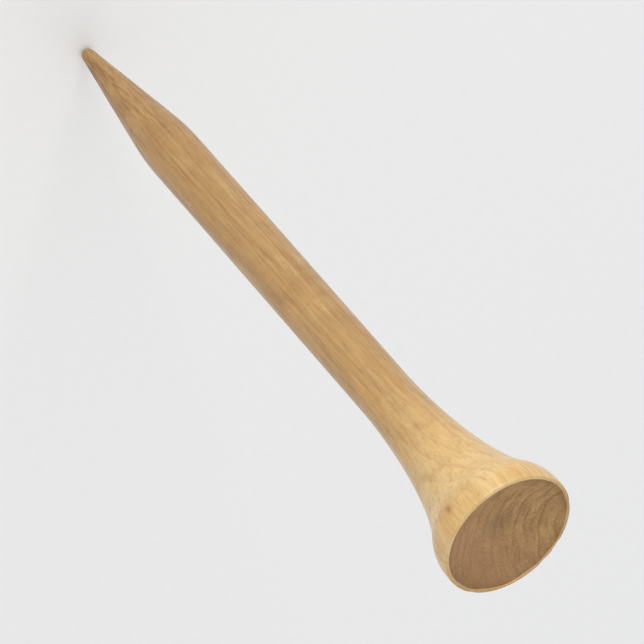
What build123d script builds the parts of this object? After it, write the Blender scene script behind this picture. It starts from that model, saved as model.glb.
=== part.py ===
from build123d import *
import os

os.makedirs("parts", exist_ok=True)

# A wooden golf tee: one peg turned from a single piece of birch, in a thin skin of clear lacquer.
# Units are millimetres. The tee stands upright on +Z, and the lowest spot of its point is the origin.

# Overall sizes, measured over the lacquer
overall_length = 69.85
head_diameter = 12.2
shank_diameter = 4.9
film_thickness = 0.08

# The point: a small rounded tip and a straight cone, blended into the shank
tip_radius = 0.55
cone_angle = 7.6
cone_blend = 30.0

# The head: a flare that swells out of the shank, a rounded shoulder, a short band and a rounded lip
flare_length = 19.7
flare_foot_pull = 4.5
flare_top_pull = 4.1
flare_angle = 31.0
shoulder_radius = 4.9
band_height = 0.72
lip_radius = 0.26

# The shallow dish that the ball rests over
cup_depth = 1.6

# Sizes of the bare wood, one film smaller all round
wood_foot = film_thickness
wood_top = overall_length - film_thickness
shank_radius = shank_diameter / 2 - film_thickness
band_radius = head_diameter / 2 - film_thickness
band_foot = wood_top - band_height
band_top = wood_top - lip_radius
cup_radius = band_radius - lip_radius
cup_floor = wood_top - cup_depth
flare_foot = wood_top - flare_length


def tee_section(skin):
    """Half of the tee's section, with radius along X and height along Y, grown outwards by skin."""
    side = shank_radius + skin
    with BuildSketch() as section:
        with BuildLine():
            tip = JernArc(
                start=(0, wood_foot - skin),
                tangent=(1, 0),
                radius=tip_radius + skin,
                arc_size=90 - cone_angle,
            )
            shank_side = Line((side, 0), (side, flare_foot), mode=Mode.PRIVATE)
            cone = IntersectingLine(tip @ 1, tip % 1, shank_side)
            Line(cone @ 1, (side, flare_foot))
            band = Line((band_radius + skin, band_foot), (band_radius + skin, band_top))
            shoulder = JernArc(
                start=band @ 0,
                tangent=(0, -1),
                radius=shoulder_radius + skin,
                arc_size=-flare_angle,
            )
            Bezier(
                shoulder @ 1,
                shoulder @ 1 + (shoulder % 1) * flare_top_pull,
                (side, flare_foot + flare_foot_pull),
                (side, flare_foot),
            )
            lip = JernArc(start=band @ 1, tangent=(0, 1), radius=lip_radius + skin, arc_size=90)
            cup = TangentArc((0, cup_floor), lip @ 1, tangent=(1, 0))
            Line(cup @ 0, tip @ 0)
        make_face()
        cone_top = section.vertices().sort_by_distance(cone @ 1)[0]
        fillet(cone_top, radius=cone_blend + skin)
    return section.sketch


# The turned body: the bare wood's section spun about the tee's axis
with BuildPart() as turned_body:
    with BuildSketch(Plane.XZ):
        add(tee_section(0))
    revolve(axis=Axis.Z)
turned_body.part.label = "turned_body"
export_step(turned_body.part, "parts/turned_body.step")


# The lacquer: the section grown by one film, less the wood and less everything over the bare cup
with BuildPart() as lacquer_film:
    with BuildSketch(Plane.XZ):
        add(tee_section(film_thickness))
        add(tee_section(0), mode=Mode.SUBTRACT)
        with Locations((0, cup_floor)):
            Rectangle(
                cup_radius,
                overall_length - cup_floor,
                align=(Align.MIN, Align.MIN),
                mode=Mode.SUBTRACT,
            )
    revolve(axis=Axis.Z)
lacquer_film.part.label = "lacquer_film"
export_step(lacquer_film.part, "parts/lacquer_film.step")
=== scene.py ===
import math
import random

import bpy
import numpy as np
from mathutils import Matrix, Vector, noise


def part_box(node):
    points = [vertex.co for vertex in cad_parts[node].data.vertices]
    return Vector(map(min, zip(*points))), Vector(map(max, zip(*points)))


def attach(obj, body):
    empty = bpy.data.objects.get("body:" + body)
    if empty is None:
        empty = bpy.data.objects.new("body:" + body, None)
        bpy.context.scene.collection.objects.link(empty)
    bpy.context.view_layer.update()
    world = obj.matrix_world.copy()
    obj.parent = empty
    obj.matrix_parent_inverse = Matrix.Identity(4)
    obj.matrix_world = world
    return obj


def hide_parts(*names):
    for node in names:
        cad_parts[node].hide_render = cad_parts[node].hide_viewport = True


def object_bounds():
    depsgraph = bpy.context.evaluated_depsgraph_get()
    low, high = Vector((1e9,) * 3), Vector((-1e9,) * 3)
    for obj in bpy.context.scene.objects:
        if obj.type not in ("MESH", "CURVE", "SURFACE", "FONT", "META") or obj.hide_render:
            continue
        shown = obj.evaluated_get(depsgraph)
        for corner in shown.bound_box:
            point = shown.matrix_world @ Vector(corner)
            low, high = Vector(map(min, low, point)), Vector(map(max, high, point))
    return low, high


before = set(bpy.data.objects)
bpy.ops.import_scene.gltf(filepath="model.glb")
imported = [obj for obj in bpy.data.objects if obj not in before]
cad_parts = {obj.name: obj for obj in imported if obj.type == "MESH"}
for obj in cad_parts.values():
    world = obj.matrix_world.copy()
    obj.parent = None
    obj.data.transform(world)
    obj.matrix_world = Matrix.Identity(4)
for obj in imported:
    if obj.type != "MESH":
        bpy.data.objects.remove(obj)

# A wooden golf tee: a peg turned from one piece of birch, under a thin worn skin of clear lacquer.
# Lengths of the tee are millimetres, and MM turns them into metres. The studio is in metres.

cad_low, cad_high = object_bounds()
MM = 0.001
SEED = 46

# Sizes that the frame gives. The bowed head is drawn a little narrower, to stay inside the frame's box
HEAD_MARGIN = 0.012
TEE_LENGTH = cad_high.z / MM
HEAD_RADIUS = min(cad_high.x, cad_high.y) / MM - HEAD_MARGIN
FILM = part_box("turned_body")[0].z / MM

# The outline under the lacquer's surface, the same shape as the frame's
TIP_RADIUS = 0.63
CONE_ANGLE = math.radians(7.6)
CONE_BLEND = 30.0
SHANK_RADIUS = 2.44
FLARE_LENGTH = 19.7
FLARE_FOOT_PULL = 4.5
FLARE_TOP_PULL = 4.1
FLARE_ANGLE = math.radians(31)
SHOULDER_RADIUS = 4.98
BAND_HEIGHT = 0.72
LIP_RADIUS = 0.28
CUP_DEPTH = 1.6

# How finely the pieces are turned into meshes
SIDES = 224
FINE_STEP = 0.06
COARSE_STEP = 0.22
HIDDEN_STEP = 1.2
HIDDEN_LIP_STEP = 0.12
HIDDEN_LIP_HEIGHT = 1.5
FINE_BELOW_RIM = 0.6
FINE_FADE = 2.5
WOOD_SINK = 1.05

# What the lathe, the tumbling barrel and use have left in the surface
TURNING_PITCH = 0.62
TURNING_DEPTH = 0.008
GRAIN_DEPTH = 0.007
OVAL_DEPTH = 0.03
OVAL_TURN = 0.7
BOW = 0.07
BOW_TURN = 2.1
DING_COUNT = 22
DING_ENDS = (3.0, 2.0)
DING_SIZE = (0.16, 0.42)
DING_DEPTH = (0.012, 0.045)
NICK_COUNT = 9
NICK_BELOW_RIM = (0.0, 0.35)
NICK_SIZE = (0.18, 0.34)
NICK_DEPTH = (0.03, 0.07)
CUP_RING_PITCH = 0.34
CUP_RING_DEPTH = 0.008
CUP_TEAR_DEPTH = 0.014
CENTRE_MARK_DEPTH = 0.06
CENTRE_MARK_RADIUS = 0.5
CREEP = 0.12

RIM_HEIGHT = TEE_LENGTH
WOOD_TOP = TEE_LENGTH - FILM
CUP_RADIUS = HEAD_RADIUS - LIP_RADIUS
CUP_SPHERE = (CUP_RADIUS**2 + CUP_DEPTH**2) / (2 * CUP_DEPTH)


# ---------------------------------------------------------------- outline

def arc(centre, radius, start, end, step=FINE_STEP):
    """Points on an arc about centre from angle start to end, in radians from +X."""
    count = max(4, math.ceil(abs(end - start) * radius / step))
    turn = np.linspace(start, end, count + 1)
    return np.stack([centre[0] + radius * np.cos(turn), centre[1] + radius * np.sin(turn)], axis=1)


def bezier(p0, p1, p2, p3, count=160):
    """Points on a cubic Bezier curve."""
    t = np.linspace(0, 1, count)[:, None]
    p0, p1, p2, p3 = (np.array(p, float) for p in (p0, p1, p2, p3))
    return (1 - t) ** 3 * p0 + 3 * t * (1 - t) ** 2 * p1 + 3 * t**2 * (1 - t) * p2 + t**3 * p3


def line(p0, p1, step=COARSE_STEP):
    """Points on a straight run."""
    p0, p1 = np.array(p0, float), np.array(p1, float)
    count = max(2, math.ceil(np.linalg.norm(p1 - p0) / step))
    return p0 + (p1 - p0) * np.linspace(0, 1, count + 1)[:, None]


def tee_outline():
    """Radius and height along the lacquer's surface, from the point to the lip's inner edge."""
    tip = arc((0, TIP_RADIUS), TIP_RADIUS, -math.pi / 2, -CONE_ANGLE)
    # the blend between cone and shank is an arc tangent to both
    corner_height = tip[-1][1] + (SHANK_RADIUS - tip[-1][0]) / math.tan(CONE_ANGLE)
    blend_top = corner_height + CONE_BLEND * math.tan(CONE_ANGLE / 2)
    blend = arc((SHANK_RADIUS - CONE_BLEND, blend_top), CONE_BLEND, -CONE_ANGLE, 0, COARSE_STEP)
    cone = line(tip[-1], blend[0])
    flare_foot = WOOD_TOP - FLARE_LENGTH
    shank = line(blend[-1], (SHANK_RADIUS, flare_foot))
    band_foot = WOOD_TOP - BAND_HEIGHT
    shoulder = arc(
        (HEAD_RADIUS - SHOULDER_RADIUS, band_foot), SHOULDER_RADIUS, -FLARE_ANGLE, 0, COARSE_STEP
    )
    slope = np.array([-math.sin(FLARE_ANGLE), -math.cos(FLARE_ANGLE)])
    flare = bezier(
        (SHANK_RADIUS, flare_foot),
        (SHANK_RADIUS, flare_foot + FLARE_FOOT_PULL),
        shoulder[0] + slope * FLARE_TOP_PULL,
        shoulder[0],
    )
    lip_centre = (HEAD_RADIUS - LIP_RADIUS, RIM_HEIGHT - LIP_RADIUS)
    band = line(shoulder[-1], (HEAD_RADIUS, lip_centre[1]))
    lip = arc(lip_centre, LIP_RADIUS, 0, math.pi / 2)
    runs = [cone, blend, shank, flare, shoulder, band, lip]
    return np.concatenate([tip] + [run[1:] for run in runs])


def resample(points, spacing):
    """The same outline with new points, spacing(radius, height) apart."""
    run = np.concatenate([[0], np.cumsum(np.linalg.norm(np.diff(points, axis=0), axis=1))])
    marks, at = [0.0], 0.0
    while at < run[-1]:
        at += spacing(np.interp(at, run, points[:, 0]), np.interp(at, run, points[:, 1]))
        marks.append(min(at, run[-1]))
    if marks[-1] - marks[-2] < FINE_STEP / 4:
        marks.pop(-2)
    return np.stack([np.interp(marks, run, points[:, k]) for k in (0, 1)], axis=1)


def normals(points):
    """Unit normals of an outline, to the right of its direction, level at both poles."""
    along = np.gradient(points, axis=0)
    out = np.stack([along[:, 1], -along[:, 0]], axis=1)
    return out / np.linalg.norm(out, axis=1)[:, None]


def close_spacing(radius, height):
    """Fine at the tip and around the lip, coarser on the long smooth runs."""
    near_end = min(height, max(0.0, RIM_HEIGHT - FINE_BELOW_RIM - height))
    return FINE_STEP + (COARSE_STEP - FINE_STEP) * min(1.0, near_end / FINE_FADE)


def hidden_spacing(radius, height):
    """Wide where the surface is hidden, closer where it turns over the lip."""
    return HIDDEN_STEP if height < RIM_HEIGHT - HIDDEN_LIP_HEIGHT else HIDDEN_LIP_STEP


# ---------------------------------------------------------------- relief

def marks_on_side():
    """Small dings on the outside and nicks in the lip: turn, height, size and depth of each."""
    draw = random.Random(SEED)
    marks = []
    for _ in range(DING_COUNT):
        turn = draw.uniform(0, math.tau)
        height = draw.uniform(DING_ENDS[0], TEE_LENGTH - DING_ENDS[1])
        marks.append((turn, height, draw.uniform(*DING_SIZE), draw.uniform(*DING_DEPTH)))
    for _ in range(NICK_COUNT):
        turn = draw.uniform(0, math.tau)
        height = RIM_HEIGHT - draw.uniform(*NICK_BELOW_RIM)
        marks.append((turn, height, draw.uniform(*NICK_SIZE), draw.uniform(*NICK_DEPTH)))
    return marks


MARKS = marks_on_side()


def smooth_noise(x, y, z):
    """Perlin noise at each of the given points."""
    points = zip(x.ravel(), y.ravel(), z.ravel())
    return np.array([noise.noise(Vector(point)) for point in points]).reshape(x.shape)


def side_relief(turn, radius, height):
    """How far the outside lies below its nominal outline, in mm, on a grid of turns and heights."""
    x, y = radius * np.cos(turn), radius * np.sin(turn)
    drift = smooth_noise(x * 0.05, y * 0.05, height * 0.35)
    rings = 0.5 + 0.5 * np.sin(math.tau * (height / TURNING_PITCH + 1.4 * drift))
    turning = TURNING_DEPTH * rings * (0.45 + 0.55 * smooth_noise(x * 0.3, y * 0.3, height * 0.11 + 7))
    grain = GRAIN_DEPTH * (0.5 + smooth_noise(x * 2.2, y * 2.2, height * 0.12))
    oval = OVAL_DEPTH * (radius / HEAD_RADIUS) * 0.5 * (1 - np.cos(2 * (turn - OVAL_TURN)))
    relief = np.abs(turning) + np.maximum(grain, 0) + oval
    for mark_turn, mark_height, size, depth in MARKS:
        across = radius * (np.mod(turn - mark_turn + math.pi, math.tau) - math.pi)
        away = (across**2 + (height - mark_height) ** 2) / size**2
        relief += depth * np.exp(-away)
    return relief * np.clip(height / 0.5, 0, 1)


def cup_relief(turn, radius):
    """How far the cup lies below its nominal dish: cutter rings, torn fibres and a centre mark."""
    x, y = radius * np.cos(turn), radius * np.sin(turn)
    drift = smooth_noise(x * 0.2, y * 0.2, 0 * x + 3)
    rings = CUP_RING_DEPTH * (0.5 + 0.5 * np.sin(math.tau * (radius / CUP_RING_PITCH + 0.5 * drift)))
    torn = CUP_TEAR_DEPTH * np.maximum(0, smooth_noise(x * 3.5, y * 3.5, 0 * x + 11))
    centre = CENTRE_MARK_DEPTH * np.exp(-((radius / CENTRE_MARK_RADIUS) ** 2))
    return (rings + torn) * np.clip((CUP_RADIUS - radius) / 0.4, 0, 1) + centre


def bowed(x, y, height):
    """The seasoned wood has bowed a little between its ends."""
    share = np.clip(height / TEE_LENGTH, 0, 1)
    shift = BOW * np.sin(math.pi * share) ** 2
    return x + shift * math.cos(BOW_TURN), y + shift * math.sin(BOW_TURN), height


# ---------------------------------------------------------------- meshes

def revolve(name, rings):
    """A closed mesh from rings of SIDES points, in mm. The first and last rings are single points."""
    first, last = rings[0][0], rings[-1][0]
    body = np.concatenate(rings[1:-1])
    points = np.concatenate([[first], body, [last]]) * MM
    count = len(rings) - 2
    faces = []
    for i in range(SIDES):
        j = (i + 1) % SIDES
        faces.append((0, 1 + j, 1 + i))
        for k in range(count - 1):
            low, high = 1 + k * SIDES, 1 + (k + 1) * SIDES
            faces.append((low + i, low + j, high + j, high + i))
        top = 1 + (count - 1) * SIDES
        faces.append((top + i, top + j, len(points) - 1))
    mesh = bpy.data.meshes.new(name)
    mesh.from_pydata(points.tolist(), [], faces)
    mesh.update()
    mesh.polygons.foreach_set("use_smooth", [True] * len(mesh.polygons))
    piece = bpy.data.objects.new(name, mesh)
    bpy.context.scene.collection.objects.link(piece)
    return piece


TURNS = np.linspace(0, math.tau, SIDES, endpoint=False)


def ring_points(radius, height):
    """Rings of points from arrays of radius and height, each (rings, SIDES)."""
    x, y, z = bowed(radius * np.cos(TURNS), radius * np.sin(TURNS), height)
    return [np.stack([x[k], y[k], z[k]], axis=1) for k in range(len(radius))]


def side_rings(outline, inset):
    """Rings along the outside, inset below the lacquer's surface and carrying its relief."""
    out = normals(outline)
    radius = np.repeat(outline[:, :1], SIDES, axis=1)
    height = np.repeat(outline[:, 1:], SIDES, axis=1)
    sunk = side_relief(TURNS[None, :], radius, height) + inset
    rings = ring_points(np.maximum(radius - out[:, :1] * sunk, 0), height - out[:, 1:] * sunk)
    pole = np.array([[0, 0, inset]])
    return [pole] + rings[1:]


def dish_height(radius):
    """The nominal height of the dish at a radius."""
    return WOOD_TOP - CUP_DEPTH + CUP_SPHERE - np.sqrt(CUP_SPHERE**2 - radius**2)


def cup_rings():
    """Rings of the bare cup from just inside the lip to its centre."""
    edge = np.arange(CUP_RADIUS, FINE_STEP, -FINE_STEP)
    radius = np.repeat(edge[:, None], SIDES, axis=1)
    height = dish_height(radius) - cup_relief(TURNS[None, :], radius)
    centre = np.array([[0, 0, dish_height(0.0) - cup_relief(np.zeros(1), np.zeros(1))[0]]])
    return ring_points(radius, height) + [centre]


def film_edge_rings():
    """The lacquer's inner edge: it creeps a little into the cup, and thins out along an uneven line."""
    reach = 0.5 + 0.5 * smooth_noise(3.2 * np.cos(TURNS), 3.2 * np.sin(TURNS), 0 * TURNS + 5)
    reach = CREEP * (0.35 + reach)
    rings = []
    for share in (0.25, 0.5, 0.75, 1.0, 1.3):
        radius = CUP_RADIUS - share * reach
        over = FILM * (1 - share**2) if share <= 1 else -0.4 * FILM
        rings.append((radius, dish_height(radius) + over))
    radius = np.stack([r for r, _ in rings])
    height = np.stack([h for _, h in rings])
    return ring_points(radius, height)


def make_wood(outline):
    """The turned body: coarse where the lacquer hides it, fine in the bare cup."""
    hidden = resample(outline, hidden_spacing)
    rings = side_rings(hidden, FILM * WOOD_SINK) + cup_rings()
    return revolve("birch_body", rings)


def make_lacquer(outline):
    """The lacquer: a thin closed shell over the wood, with its own inner surface."""
    surface = resample(outline, close_spacing)
    inner = resample(outline, hidden_spacing)
    outside = side_rings(surface, 0.0)
    inside = side_rings(inner, FILM)
    rings = outside + film_edge_rings() + inside[::-1]
    return revolve("lacquer_skin", rings)


# ---------------------------------------------------------------- materials

class Graph:
    """Short-hand for one material's nodes."""

    def __init__(self, name):
        self.material = bpy.data.materials.new(name)
        self.material.use_nodes = True
        self.tree = self.material.node_tree
        self.tree.nodes.clear()

    def node(self, kind, **settings):
        made = self.tree.nodes.new(kind)
        for key, value in settings.items():
            setattr(made, key, value)
        return made

    def put(self, value, socket):
        """Links a socket, or sets a plain value."""
        if isinstance(value, bpy.types.NodeSocket):
            self.tree.links.new(value, socket)
        else:
            socket.default_value = value

    def math(self, operation, *values):
        made = self.node("ShaderNodeMath", operation=operation)
        for value, socket in zip(values, made.inputs):
            self.put(value, socket)
        return made.outputs[0]

    def vector(self, operation, *values):
        made = self.node("ShaderNodeVectorMath", operation=operation)
        for value, socket in zip(values, made.inputs):
            self.put(value, socket)
        return made.outputs["Value" if operation == "LENGTH" else "Vector"]

    def stretch(self, vector, x, y, z):
        return self.vector("MULTIPLY", vector, (x, y, z))

    def split(self, vector):
        made = self.node("ShaderNodeSeparateXYZ")
        self.put(vector, made.inputs[0])
        return tuple(made.outputs)

    def join(self, x, y, z):
        made = self.node("ShaderNodeCombineXYZ")
        for value, socket in zip((x, y, z), made.inputs):
            self.put(value, socket)
        return made.outputs[0]

    def length(self, x, y):
        squares = self.math("ADD", self.math("POWER", x, 2.0), self.math("POWER", y, 2.0))
        return self.math("SQRT", squares)

    def noise(self, vector, detail=3.0, rough=0.55, distortion=0.0):
        made = self.node("ShaderNodeTexNoise", noise_dimensions="3D")
        self.put(vector, made.inputs["Vector"])
        made.inputs["Scale"].default_value = 1.0
        made.inputs["Detail"].default_value = detail
        made.inputs["Roughness"].default_value = rough
        made.inputs["Distortion"].default_value = distortion
        return made.outputs["Fac"]

    def cells(self, vector):
        made = self.node("ShaderNodeTexVoronoi", feature="F1")
        self.put(vector, made.inputs["Vector"])
        made.inputs["Scale"].default_value = 1.0
        return made.outputs["Distance"]

    def span(self, value, low, high, to_low=0.0, to_high=1.0):
        """value from low..high to to_low..to_high, smoothed and clamped."""
        made = self.node("ShaderNodeMapRange", interpolation_type="SMOOTHSTEP")
        for number, socket in zip((value, low, high, to_low, to_high), made.inputs):
            self.put(number, socket)
        return made.outputs[0]

    def mix(self, factor, a, b, blend="MIX"):
        made = self.node("ShaderNodeMix", data_type="RGBA", blend_type=blend)
        self.put(factor, made.inputs[0])
        for colour, socket in ((a, made.inputs[6]), (b, made.inputs[7])):
            self.put(colour if isinstance(colour, bpy.types.NodeSocket) else (*colour, 1.0), socket)
        return made.outputs[2]

    def layers(self, colour, rows):
        """Lays colours over each other. Each row is an amount, a colour and, if not MIX, a blend."""
        for amount, over, *blend in rows:
            colour = self.mix(amount, colour, over, *blend)
        return colour

    def total(self, start, rows):
        """start, plus each row's value times its weight."""
        for value, weight in rows:
            start = self.math("ADD", start, self.math("MULTIPLY", value, weight))
        return start

    def bump(self, height, distance, strength):
        made = self.node("ShaderNodeBump")
        made.inputs["Strength"].default_value = strength
        made.inputs["Distance"].default_value = distance * MM
        self.put(height, made.inputs["Height"])
        return made.outputs[0]

    def shader(self, colour, roughness, normal, **constants):
        """The one Principled shader. Constants are set on its own sockets."""
        made = self.node("ShaderNodeBsdfPrincipled")
        self.put(colour, made.inputs["Base Color"])
        self.put(roughness, made.inputs["Roughness"])
        self.put(normal, made.inputs["Normal"])
        for key, value in constants.items():
            made.inputs[key.replace("_", " ")].default_value = value
        output = self.node("ShaderNodeOutputMaterial")
        self.tree.links.new(made.outputs[0], output.inputs["Surface"])
        return self.material


def srgb(r, g, b):
    """A linear colour from 8-bit sRGB numbers."""
    return tuple(((c / 255 + 0.055) / 1.055) ** 2.4 if c > 10 else c / 255 / 12.92 for c in (r, g, b))


SIDE_PALE = srgb(228, 195, 136)
SIDE_TAN = srgb(219, 181, 117)
# the shank's colour: partly its own darker tone, partly painted shade
SIDE_SHANK_AND_SHADE = srgb(176, 136, 83)
SIDE_ORANGE = srgb(210, 158, 88)
SIDE_LIGHT = srgb(232, 203, 148)
SIDE_DARKEN = (0.60, 0.46, 0.33)
SIDE_FLECK = srgb(142, 98, 56)
KNOT_HALO = srgb(184, 128, 62)
KNOT_HEART = srgb(140, 88, 38)
SOIL = srgb(122, 90, 58)
LIP_PALE = srgb(230, 204, 158)
CUP_YELLOW = srgb(174, 138, 88)
CUP_PINK = srgb(178, 136, 95)
CUP_BROWN = srgb(158, 118, 74)
CUP_RING = srgb(122, 86, 52)
CUP_RAY = srgb(198, 162, 116)
CUP_PORE = srgb(96, 66, 40)
# the cup's grime colour, which also paints shade in the cup's corner and on one side
CUP_GRIME_AND_SHADE = srgb(122, 90, 58)

# The board that the tee was cut from: where its pith lay, how far apart its growth rings are
PITH = (-13.0, 14.0)
RING_SPACING = 1.05
GRAIN_RUNOUT = 0.035
GRAIN_WANDER = 2.6

# A pin knot's brown streak on the flare: its turn about the axis, radius, height and half sizes
KNOT_TURN = math.radians(-67)
KNOT_RADIUS = 5.93
KNOT_BELOW_RIM = 2.1
KNOT_SIZE = (0.28, 0.28, 0.50)


def wood_fields(g):
    """Solid fields of the birch, in mm about the tee: rings, fibres, pores, rays and broad tone."""
    place = g.node("ShaderNodeTexCoord").outputs["Object"]
    place = g.vector("MULTIPLY", place, (1 / MM, 1 / MM, 1 / MM))
    x, y, height = g.split(place)
    # the grain runs out of the tee's axis a little, and wanders
    wander = g.noise(g.stretch(place, 0.16, 0.16, 0.045), detail=2.0)
    across_x = g.math("ADD", x, g.math("SUBTRACT", g.math("MULTIPLY", height, GRAIN_RUNOUT), PITH[0]))
    across_y = g.math("SUBTRACT", y, PITH[1])
    out = g.length(across_x, across_y)
    around = g.math("MULTIPLY", g.math("ARCTAN2", across_y, across_x), math.hypot(*PITH))
    out = g.math("ADD", out, g.math("MULTIPLY", wander, GRAIN_WANDER))
    # years differ in width, so the rings are read from a warped distance
    uneven = g.noise(g.join(out, 0.0, 0.0), detail=1.0)
    years = g.math("ADD", g.math("DIVIDE", out, RING_SPACING), uneven)
    phase = g.math("FRACT", years)
    late = g.math("MULTIPLY", g.span(phase, 0.45, 0.96), g.span(phase, 1.0, 0.965))
    ray_place = g.join(
        g.math("MULTIPLY", around, 5.5), g.math("MULTIPLY", out, 0.5), g.math("MULTIPLY", height, 0.9)
    )
    streak_place = g.join(
        g.math("MULTIPLY", out, 2.6), g.math("MULTIPLY", around, 0.42), g.math("MULTIPLY", height, 0.35)
    )
    fleck_cells = g.stretch(g.vector("ADD", place, g.stretch(place, 0.03, 0.0, 0.0)), 6.0, 6.0, 0.75)
    return {
        "place": place,
        "x": x,
        "y": y,
        "height": height,
        "late": late,
        "ray": g.span(g.noise(ray_place, detail=1.0), 0.60, 0.74),
        "streak": g.noise(streak_place, detail=3.0, rough=0.6),
        "fibre": g.noise(g.stretch(place, 3.4, 3.4, 0.13), detail=4.0, rough=0.62),
        "fine": g.noise(g.stretch(place, 11.0, 11.0, 0.5), detail=2.0),
        "fleck": g.span(g.cells(fleck_cells), 0.20, 0.08),
        "fleck_kind": g.span(g.noise(g.stretch(place, 1.3, 1.3, 0.35), detail=1.0), 0.50, 0.66),
        "tone": g.noise(g.stretch(place, 0.30, 0.30, 0.10), detail=3.0, distortion=0.5),
        "curl": g.noise(g.stretch(place, 0.16, 0.16, 0.42), detail=2.0, distortion=0.9),
        "patch": g.noise(g.stretch(place, 0.66, 0.66, 0.14), detail=4.0, distortion=0.25),
    }


def bare_birch():
    """End grain in the cup: matte and browner than the sides, with rings, rays, pores, grime at the
    centre, and painted shade in the corner under the lip and towards one side.
    """
    g = Graph("bare_birch")
    f = wood_fields(g)
    # one side of the cup is pinker and smoother, the other yellower with clearer rings
    side = g.span(g.math("ADD", f["x"], g.math("MULTIPLY", f["tone"], 5.0)), -1.0, 6.0)
    ring_strength = g.span(f["x"], 4.0, -3.0, 0.16, 0.42)
    # fine streaks run along the rings, clearer on the yellow side
    clear = g.span(f["x"], 5.0, -3.5, 0.35, 1.0)
    pale_streak = g.math("MULTIPLY", g.span(f["streak"], 0.50, 0.70, 0.0, 0.42), clear)
    dark_streak = g.math("MULTIPLY", g.span(f["streak"], 0.50, 0.32, 0.0, 0.50), clear)
    grit = g.noise(g.stretch(f["place"], 5.5, 5.5, 1.0), detail=3.0, rough=0.7)
    pore = g.span(g.cells(g.stretch(f["place"], 4.6, 4.6, 0.6)), 0.19, 0.09)
    # grime gathers at the lathe's centre mark; the corner under the lip and the +X+Y side are darkened
    # with painted shade
    radius = g.length(f["x"], f["y"])
    centre = g.math("ADD", radius, g.math("MULTIPLY", f["patch"], 1.6))
    corner = g.math("SUBTRACT", radius, g.math("MULTIPLY", f["patch"], 0.7))
    shaded_side = g.math("ADD", g.math("MULTIPLY", f["x"], 0.8), g.math("MULTIPLY", f["y"], 0.6))
    colour = g.layers(
        g.mix(side, CUP_YELLOW, CUP_PINK),
        (
            (g.span(f["tone"], 0.40, 0.64, 0.0, 0.60), CUP_BROWN),
            (g.math("MULTIPLY", f["late"], ring_strength), CUP_RING),
            (g.math("MULTIPLY", f["ray"], 0.22), CUP_RAY),
            (pale_streak, CUP_RAY),
            (dark_streak, CUP_RING),
            (g.span(grit, 0.50, 0.72, 0.0, 0.42), CUP_RING),
            (g.span(grit, 0.48, 0.30, 0.0, 0.30), CUP_RAY),
            (g.math("MULTIPLY", pore, 0.45), CUP_PORE),
            (g.span(centre, 3.2, 0.8, 0.0, 0.46), CUP_GRIME_AND_SHADE),
            # painted shade: darker in the corner under the lip and towards +X+Y
            (g.span(corner, 4.6, 5.5, 0.0, 0.42), CUP_GRIME_AND_SHADE),
            (g.span(shaded_side, 0.0, 6.0, 0.0, 0.40), CUP_GRIME_AND_SHADE),
        ),
    )
    rough = g.span(grit, 0.3, 0.7, 0.62, 0.82)
    relief = g.math("SUBTRACT", g.math("MULTIPLY", grit, 0.8), pore)
    relief = g.math("SUBTRACT", relief, g.math("MULTIPLY", f["late"], 0.3))
    return g.shader(colour, rough, g.bump(relief, 0.03, 0.8), Specular_IOR_Level=0.4)


def scratches(g, f, angle, spread, strength):
    """Hairlines that run one way across the surface, a few at a time."""
    lean = g.math("MULTIPLY", f["height"], math.tan(angle))
    place = g.join(g.math("ADD", f["x"], lean), f["y"], g.math("MULTIPLY", f["height"], spread))
    level = g.math("ABSOLUTE", g.math("SUBTRACT", g.noise(place, detail=2.0, distortion=0.4), 0.5))
    few = g.span(g.noise(g.stretch(f["place"], 0.23, 0.23, 0.19), detail=1.0), 0.50, 0.62)
    return g.math("MULTIPLY", g.math("MULTIPLY", g.span(level, 0.006, 0.0), few), strength)


def knot_distance(g, f):
    """Distance from the pin knot's middle in half sizes, frayed along the fibres."""
    knot_at = (
        KNOT_RADIUS * math.cos(KNOT_TURN),
        KNOT_RADIUS * math.sin(KNOT_TURN),
        RIM_HEIGHT - KNOT_BELOW_RIM,
    )
    away = g.vector("SUBTRACT", f["place"], knot_at)
    away = g.vector("LENGTH", g.stretch(away, *(1 / size for size in KNOT_SIZE)))
    return g.math("ADD", away, g.math("MULTIPLY", g.math("SUBTRACT", f["fibre"], 0.5), 1.6))


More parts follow.
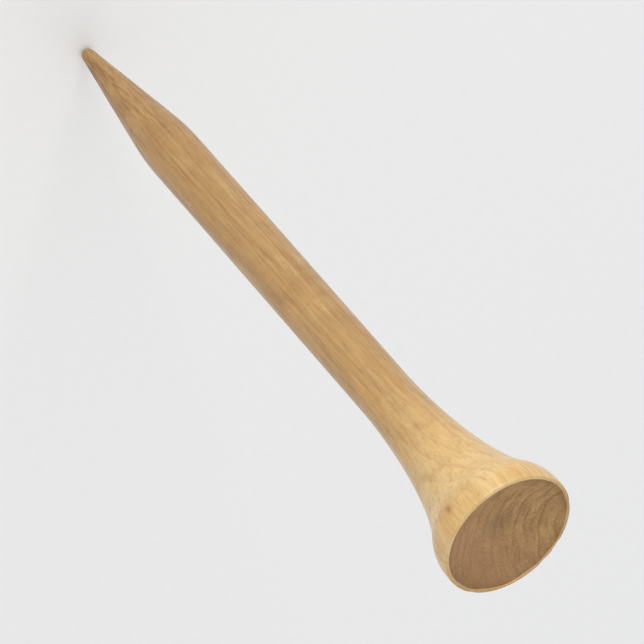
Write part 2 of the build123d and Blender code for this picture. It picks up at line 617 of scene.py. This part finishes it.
def lacquered_birch():
    """Side grain seen through clear lacquer: honey tan, with soil at the point, a rubbed lip painted
    paler with a painted highlight, and painted shade on the shank and on the lip's +Y side.
    """
    g = Graph("lacquered_birch")
    f = wood_fields(g)
    # the shank is darker than the head and darkens further towards the point: partly the wood's own
    # tone, partly painted shade
    shank = g.math("ADD", f["height"], g.math("MULTIPLY", f["tone"], 12.0))
    # on the flare the fibres are cut across, so they show less
    plain = g.span(f["height"], 60.0, 50.0, 0.62, 1.0)
    fibres = g.math("MULTIPLY", g.span(f["fibre"], 0.44, 0.72, 0.0, 0.52), plain)
    hair_grain = g.math("MULTIPLY", g.span(f["fine"], 0.52, 0.70, 0.0, 0.40), plain)
    fleck = g.math("MULTIPLY", f["fleck"], f["fleck_kind"])
    knot = knot_distance(g, f)
    # towards the point the tee has been in the ground, and soil stays in the grain
    ground = g.span(g.math("SUBTRACT", f["height"], g.math("MULTIPLY", f["patch"], 9.0)), 14.0, -3.0)
    soil = g.math("MULTIPLY", ground, g.span(f["fibre"], 0.42, 0.66, 0.15, 0.85))
    crumbs = g.span(g.cells(g.stretch(f["place"], 2.1, 2.1, 1.3)), 0.13, 0.05)
    crumbs = g.math("MULTIPLY", crumbs, g.span(f["patch"], 0.50, 0.62))
    # along the lip the lacquer has rubbed thin and the wood shows pale, and this pale line is also a
    # painted highlight on the lip's edge
    lip = g.span(f["height"], RIM_HEIGHT - 0.42, RIM_HEIGHT - 0.12)
    rub = g.span(g.noise(g.stretch(f["place"], 1.1, 1.1, 1.1), detail=4.0), 0.34, 0.56, 0.35, 1.0)
    worn_and_highlit = g.math("MULTIPLY", lip, rub)
    # the lip's upper half is end grain, as brown as the cup; towards +Y it is darker still with painted
    # shade
    facing = g.split(g.node("ShaderNodeTexCoord").outputs["Normal"])[2]
    near_rim = g.span(f["height"], RIM_HEIGHT - 1.0, RIM_HEIGHT - 0.5)
    end_grain_and_shade = g.math("MULTIPLY", g.span(facing, 0.30, 0.85), near_rim)
    # painted shade: the lip's end grain darker towards +Y
    end_grain_and_shade = g.math("MULTIPLY", end_grain_and_shade, g.span(f["y"], -4.0, 2.0, 0.3, 1.0))
    colour = g.layers(
        g.mix(g.span(f["tone"], 0.36, 0.62), SIDE_PALE, SIDE_TAN),
        (
            # the shank darker than the head, partly its tone and partly painted shade; then painted
            # shade darkening it slowly towards the point
            (g.span(shank, 72.0, 55.0, 0.0, 0.72), SIDE_SHANK_AND_SHADE),
            (g.span(f["height"], 64.0, 16.0, 0.0, 0.75), SIDE_SHANK_AND_SHADE),
            (g.span(f["patch"], 0.52, 0.72, 0.0, 0.45), SIDE_ORANGE),
            (g.span(f["patch"], 0.47, 0.32, 0.0, 0.22), SIDE_PALE),
            (g.span(f["curl"], 0.48, 0.68, 0.0, 0.18), SIDE_DARKEN, "MULTIPLY"),
            (fibres, SIDE_DARKEN, "MULTIPLY"),
            (g.span(f["fibre"], 0.44, 0.26, 0.0, 0.24), SIDE_LIGHT),
            (hair_grain, SIDE_DARKEN, "MULTIPLY"),
            (g.math("MULTIPLY", f["late"], 0.20), SIDE_DARKEN, "MULTIPLY"),
            (g.math("MULTIPLY", f["ray"], 0.16), SIDE_FLECK),
            (g.math("MULTIPLY", fleck, 0.50), SIDE_FLECK),
            (g.span(knot, 2.6, 0.5, 0.0, 0.55), KNOT_HALO),
            (g.span(knot, 1.1, 0.1, 0.0, 0.55), KNOT_HEART),
            (g.math("MULTIPLY", soil, 0.62), SOIL),
            (g.math("MULTIPLY", crumbs, 0.38), KNOT_HEART),
            # rubbed lacquer on the lip, painted paler also as a highlight along its edge
            (g.math("MULTIPLY", worn_and_highlit, 0.28), LIP_PALE),
            # end grain on the lip, with painted shade towards +Y
            (g.math("MULTIPLY", end_grain_and_shade, 0.62), CUP_BROWN),
        ),
    )
    rough = g.total(g.span(f["fibre"], 0.3, 0.7, 0.30, 0.40), ((worn_and_highlit, 0.22), (ground, 0.16)))
    rough = g.math("ADD", rough, g.span(f["patch"], 0.45, 0.7, 0.0, 0.10))
    hairs = g.math("MAXIMUM", scratches(g, f, 0.5, 0.4, 1.0), scratches(g, f, -1.1, 0.9, 0.8))
    turning = g.noise(g.stretch(f["place"], 0.35, 0.35, 6.5), detail=2.0)
    relief = g.total(
        g.math("MULTIPLY", f["fibre"], 0.8),
        ((turning, 0.35), (f["fine"], 0.35), (fleck, -0.6), (hairs, -0.7)),
    )
    return g.shader(
        colour,
        rough,
        g.bump(relief, 0.016, 0.75),
        IOR=1.5,
        Coat_Weight=0.28,
        Coat_Roughness=0.22,
        Specular_IOR_Level=0.4,
    )


# ---------------------------------------------------------------- the tee

def finish_piece(piece, material, node):
    """Gives a piece its material and its place in the frame."""
    piece.data.materials.append(material)
    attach(piece, "root")
    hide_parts(node)


outline = tee_outline()
finish_piece(make_wood(outline), bare_birch(), "turned_body")
finish_piece(make_lacquer(outline), lacquered_birch(), "lacquer_film")


# ---------------------------------------------------------------- studio

FLOOR_SIZE = 12.0
FLOOR_TOOTH = 900.0
FLOOR_TONES = ((0.87, 0.87, 0.87), (0.90, 0.90, 0.90))
WALL_STRENGTH = 0.47
CEILING_STRENGTH = 0.84
BACKDROP_STRENGTH = 0.61
SKY_COLOUR = (0.98, 0.99, 1.0, 1.0)
WALL_TOP = 0.05
CEILING_FOOT = 0.9
VIEW_FROM_AXIS = math.radians(51.7)
TAIL_TO_HEAD = math.radians(-48.8)
CAMERA_LENS = 430.0
CAMERA_DISTANCE = 0.65
CAMERA_TARGET = 0.575

# Each light's name, direction from the tee, distance and side in metres, watts and colour
LIGHTS = (
    ("key", (-0.50, -0.86, 0.16), 0.45, 0.24, 1.0, (1.0, 0.97, 0.92)),
    ("fill", (0.95, -0.35, 0.30), 0.6, 0.45, 0.22, (1.0, 0.86, 0.66)),
    ("back", (0.2, 0.6, 1.0), 1.2, 0.9, 2.2, (1.0, 1.0, 1.0)),
)


def floor_paper():
    """Pale matte studio paper."""
    g = Graph("studio_paper")
    place = g.node("ShaderNodeTexCoord").outputs["Object"]
    tooth = g.noise(g.stretch(place, FLOOR_TOOTH, FLOOR_TOOTH, FLOOR_TOOTH), detail=3.0)
    return g.shader(g.mix(tooth, *FLOOR_TONES), 0.9, g.bump(tooth, 0.01, 0.2))


def make_floor():
    """A flat pale floor that runs to the horizon."""
    half = FLOOR_SIZE / 2
    mesh = bpy.data.meshes.new("floor")
    mesh.from_pydata(
        [(-half, -half, 0), (half, -half, 0), (half, half, 0), (-half, half, 0)], [], [(0, 1, 2, 3)]
    )
    floor = bpy.data.objects.new("floor", mesh)
    bpy.context.scene.collection.objects.link(floor)
    floor.data.materials.append(floor_paper())


def area_light(name, direction, distance, size, watts, colour):
    """A soft square light that looks at the tee's middle, and isn't seen itself."""
    light = bpy.data.lights.new(name, "AREA")
    light.energy = watts
    light.size = size
    light.color = colour
    lamp = bpy.data.objects.new(name, light)
    target = (cad_low + cad_high) / 2
    back = Vector(direction).normalized()
    lamp.location = target + back * distance
    lamp.rotation_mode = "QUATERNION"
    lamp.rotation_quaternion = (-back).to_track_quat("-Z", "Y")
    lamp.visible_camera = False
    bpy.context.scene.collection.objects.link(lamp)


def make_world():
    """Even studio light, dimmer at the horizon than overhead, and a plain backdrop for the camera."""
    world = bpy.data.worlds.new("studio")
    world.use_nodes = True
    tree = world.node_tree
    place = tree.nodes.new("ShaderNodeTexCoord")
    split = tree.nodes.new("ShaderNodeSeparateXYZ")
    rise = tree.nodes.new("ShaderNodeMapRange")
    rise.inputs["From Min"].default_value = WALL_TOP
    rise.inputs["From Max"].default_value = CEILING_FOOT
    rise.inputs["To Min"].default_value = WALL_STRENGTH
    rise.inputs["To Max"].default_value = CEILING_STRENGTH
    tree.links.new(place.outputs["Generated"], split.inputs[0])
    tree.links.new(split.outputs[2], rise.inputs["Value"])
    walls = tree.nodes["Background"]
    walls.inputs["Color"].default_value = SKY_COLOUR
    tree.links.new(rise.outputs[0], walls.inputs["Strength"])
    # what the camera sees behind the floor's edge is a plain sheet of the floor's own tone
    backdrop = tree.nodes.new("ShaderNodeBackground")
    backdrop.inputs["Color"].default_value = (1.0, 1.0, 1.0, 1.0)
    backdrop.inputs["Strength"].default_value = BACKDROP_STRENGTH
    seen = tree.nodes.new("ShaderNodeLightPath")
    choice = tree.nodes.new("ShaderNodeMixShader")
    tree.links.new(seen.outputs["Is Camera Ray"], choice.inputs[0])
    tree.links.new(walls.outputs[0], choice.inputs[1])
    tree.links.new(backdrop.outputs[0], choice.inputs[2])
    tree.links.new(choice.outputs[0], tree.nodes["World Output"].inputs["Surface"])
    bpy.context.scene.world = world


def make_camera():
    """The view from above the head, rolled so that the tee runs from upper left to lower right."""
    elevation = math.pi / 2 - VIEW_FROM_AXIS
    back = Vector((0, -math.cos(elevation), math.sin(elevation)))
    level_right = Vector((1, 0, 0))
    level_up = back.cross(level_right)
    roll = math.pi / 2 - TAIL_TO_HEAD
    right = level_right * math.cos(roll) + level_up * math.sin(roll)
    up = back.cross(right)
    target = Vector((0, 0, TEE_LENGTH * CAMERA_TARGET * MM))
    data = bpy.data.cameras.new("camera")
    data.lens = CAMERA_LENS
    data.clip_start = 0.01
    data.clip_end = 30.0
    camera = bpy.data.objects.new("camera", data)
    rotation = Matrix((right, up, back)).transposed()
    camera.matrix_world = Matrix.Translation(target + back * CAMERA_DISTANCE) @ rotation.to_4x4()
    bpy.context.scene.collection.objects.link(camera)
    bpy.context.scene.camera = camera


make_floor()
make_world()
for row in LIGHTS:
    area_light(*row)
make_camera()
bpy.context.scene.view_settings.view_transform = "Standard"
